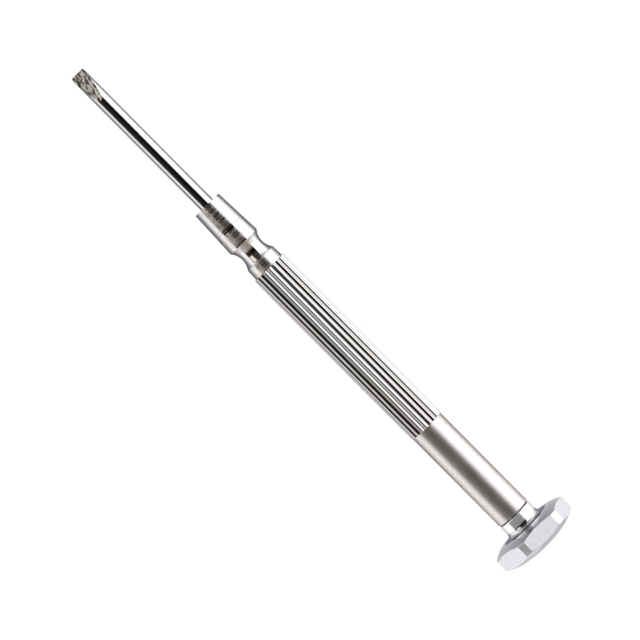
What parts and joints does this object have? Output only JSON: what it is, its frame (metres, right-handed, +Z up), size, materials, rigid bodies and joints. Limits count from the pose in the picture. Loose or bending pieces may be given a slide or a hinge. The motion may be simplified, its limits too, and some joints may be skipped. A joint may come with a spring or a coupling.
{
  "type": "watchmaker screwdriver",
  "caption": "Small slotted screwdriver with a fluted metal handle, a collet chuck for the blade and a swivelling domed finger rest with flats.",
  "frame": {"origin": "on the plane of the head's lower flat, below the middle of the tool's length", "axes": "+X along the tool's axis from the blade's tip to the head, +Z up, away from the head's lower flat"},
  "size_m": [0.1014, 0.014, 0.0128],
  "materials": {
    "blade_steel": "polished",
    "nickel_plate": "satin",
    "polished_head": "polished",
    "spring_steel": "satin",
    "hard_steel": "polished",
    "bronze": "satin"
  },
  "bodies": {
    "handle": {"handle_body": "nickel_plate", "ball_seat": "hard_steel", "thrust_ball": "hard_steel", "bearing_bush": "bronze", "clip_washer": "spring_steel"},
    "swivel": {"swivel_head": "polished_head", "spindle": "hard_steel", "retaining_clip": "spring_steel"},
    "collet": {"collet": "spring_steel"},
    "sleeve": {"chuck_sleeve": "nickel_plate"},
    "blade": {"blade": "blade_steel"}
  },
  "joints": [
    {"name": "head_spin", "type": "hinge", "parent": "handle", "child": "swivel", "pos_m": [0.04375, 0, 0.00638], "axis": [1, 0, 0], "continuous": true},
    {"name": "collet_slide", "type": "slide", "parent": "handle", "child": "collet", "axis": [-1, 0, 0], "range_m": [0, 0.002]},
    {"name": "sleeve_turn", "type": "hinge", "parent": "collet", "child": "sleeve", "pos_m": [-0.0203, 0, 0.00638], "axis": [-1, 0, 0], "range_deg": [0, 1440]},
    {"name": "blade_draw", "type": "slide", "parent": "collet", "child": "blade", "axis": [-1, 0, 0], "range_m": [0, 0.014]}
  ],
  "couplings": [
    {"joint": "sleeve_turn", "follows": "collet_slide", "rad_per_m": 12566}
  ]
}
